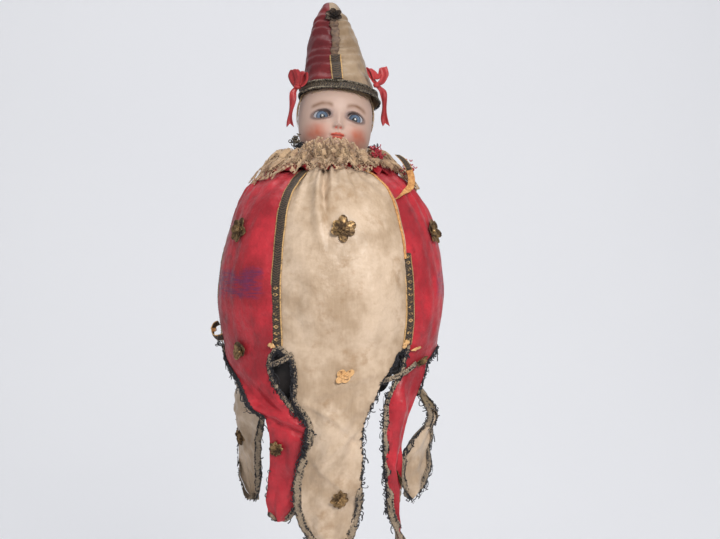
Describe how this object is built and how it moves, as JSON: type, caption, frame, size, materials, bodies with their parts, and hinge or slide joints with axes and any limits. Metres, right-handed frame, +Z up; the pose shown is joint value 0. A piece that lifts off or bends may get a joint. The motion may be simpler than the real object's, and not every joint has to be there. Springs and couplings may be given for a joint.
{
  "type": "hand puppet",
  "caption": "Jester hand puppet: bisque head on a finger tube, pointed two-colour hat, lace ruff and a hollow satin gored costume that ends in hinged braid-edged lappets.",
  "frame": {"origin": "centre of the hand opening, at the level of the notches between the lappets", "axes": "+Z up through the neck to the hat, -Y towards where the face looks, +X to the viewer's right"},
  "size_m": [0.1547, 0.154, 0.382],
  "materials": {
    "red_satin": "worn crimson silk satin, stained purple in places",
    "cream_satin": "aged ivory silk satin with brown stains",
    "dark_lining": "stiff dark interlining, matt",
    "olive_lining": "glazed brown cotton lining",
    "tan_gimp": "tan gimp braid with dark tarnished thread",
    "dark_braid": "woven braid of tarnished metal thread with gold edges",
    "gilt_foil": "pressed gilt foil, tarnished brown",
    "lace": "tan cotton lace, gathered",
    "bisque": "painted bisque, matt, with tinted cheeks",
    "eye_glass": "blown glass eye, glossy and opaque",
    "pasteboard": "rolled pasteboard, matt",
    "cork": "cork, matt",
    "mohair": "blond mohair",
    "pink_ribbon": "faded rose silk ribbon",
    "thread": "waxed linen cord"
  },
  "bodies": {
    "costume": {"gore_front_cream": "cream_satin", "gore_right_red": "red_satin", "gore_right_back_cream": "cream_satin", "gore_back_red": "red_satin", "gore_left_back_cream": "cream_satin", "gore_left_red": "red_satin", "body_lining": "dark_lining", "seam_braid_front_left": "dark_braid", "seam_braid_front_right": "dark_braid", "seam_braid_side_right": "dark_braid", "seam_braid_back_right": "dark_braid", "seam_braid_back_left": "dark_braid", "seam_braid_side_left": "dark_braid", "gore_flowers": "gilt_foil", "ruff_lower": "lace", "ruff_upper": "lace", "loose_braid": "dark_braid"},
    "collar_cord": {"neck_cord": "thread"},
    "collar_band": {"neck_band": "cream_satin"},
    "head": {"bisque_head": "bisque", "eye_left": "eye_glass", "eye_right": "eye_glass", "finger_tube": "pasteboard", "pate": "cork", "wig": "mohair", "hat_stiffener": "pasteboard", "hat_cream": "cream_satin", "hat_red": "red_satin", "hat_brim_braid": "dark_braid", "hat_seam_braid": "dark_braid", "hat_flower": "gilt_foil", "bow_left": "pink_ribbon", "bow_right": "pink_ribbon"},
    "tail_left": {"tail_left": "pink_ribbon"},
    "tail_right": {"tail_right": "pink_ribbon"},
    "lappet_front_cream": {"lappet_front_cream_satin": "cream_satin", "lappet_front_cream_lining": "olive_lining", "lappet_front_cream_trim": "tan_gimp", "lappet_front_cream_flowers": "gilt_foil"},
    "lappet_right_red": {"lappet_right_red_satin": "red_satin", "lappet_right_red_lining": "olive_lining", "lappet_right_red_trim": "tan_gimp", "lappet_right_red_flowers": "gilt_foil"},
    "lappet_right_back_cream": {"lappet_right_back_cream_satin": "cream_satin", "lappet_right_back_cream_lining": "olive_lining", "lappet_right_back_cream_trim": "tan_gimp", "lappet_right_back_cream_flowers": "gilt_foil"},
    "lappet_back_red": {"lappet_back_red_satin": "red_satin", "lappet_back_red_lining": "olive_lining", "lappet_back_red_trim": "tan_gimp", "lappet_back_red_flowers": "gilt_foil"},
    "lappet_left_back_cream": {"lappet_left_back_cream_satin": "cream_satin", "lappet_left_back_cream_lining": "olive_lining", "lappet_left_back_cream_trim": "tan_gimp", "lappet_left_back_cream_flowers": "gilt_foil"},
    "lappet_left_red": {"lappet_left_red_satin": "red_satin", "lappet_left_red_lining": "olive_lining", "lappet_left_red_trim": "tan_gimp", "lappet_left_red_flowers": "gilt_foil"}
  },
  "joints": [
    {"name": "neck_tilt", "type": "hinge", "parent": "costume", "child": "collar_cord", "pos_m": [0, 0, 0.121], "axis": [0, 1, 0], "range_deg": [-8, 8]},
    {"name": "neck_nod", "type": "hinge", "parent": "collar_cord", "child": "collar_band", "pos_m": [0, 0, 0.121], "axis": [1, 0, 0], "range_deg": [-6, 10]},
    {"name": "head_turn", "type": "hinge", "parent": "collar_band", "child": "head", "pos_m": [0, 0, 0.121], "axis": [0.0767, 0.2079, 0.9751], "range_deg": [-34, 34]},
    {"name": "lappet_front_cream_swing", "type": "hinge", "parent": "costume", "child": "lappet_front_cream", "pos_m": [0.01079, -0.0722, -0.0005], "axis": [-0.989, -0.1478, 0], "range_deg": [0, 60]},
    {"name": "lappet_right_red_swing", "type": "hinge", "parent": "costume", "child": "lappet_right_red", "pos_m": [0.06977, -0.02147, -0.0005], "axis": [-0.294, -0.9558, 0], "range_deg": [0, 60]},
    {"name": "lappet_right_back_cream_swing", "type": "hinge", "parent": "costume", "child": "lappet_right_back_cream", "pos_m": [0.05534, 0.0476, -0.0005], "axis": [0.6521, -0.7581, 0], "range_deg": [0, 60]},
    {"name": "lappet_back_red_swing", "type": "hinge", "parent": "costume", "child": "lappet_back_red", "pos_m": [-0.01079, 0.0722, -0.0005], "axis": [0.989, 0.1478, 0], "range_deg": [0, 60]},
    {"name": "lappet_left_back_cream_swing", "type": "hinge", "parent": "costume", "child": "lappet_left_back_cream", "pos_m": [-0.06684, 0.02934, -0.0005], "axis": [0.4019, 0.9157, 0], "range_deg": [0, 60]},
    {"name": "lappet_left_red_swing", "type": "hinge", "parent": "costume", "child": "lappet_left_red", "pos_m": [-0.06045, -0.04093, -0.0005], "axis": [-0.5606, 0.8281, 0], "range_deg": [0, 60]},
    {"name": "tail_left_swing", "type": "hinge", "parent": "head", "child": "tail_left", "pos_m": [-0.026, -0.003, 0.174], "axis": [0, 1, 0], "range_deg": [-2, 45]},
    {"name": "tail_right_swing", "type": "hinge", "parent": "head", "child": "tail_right", "pos_m": [0.035, -0.003, 0.1745], "axis": [0, -1, 0], "range_deg": [-2, 45]}
  ]
}
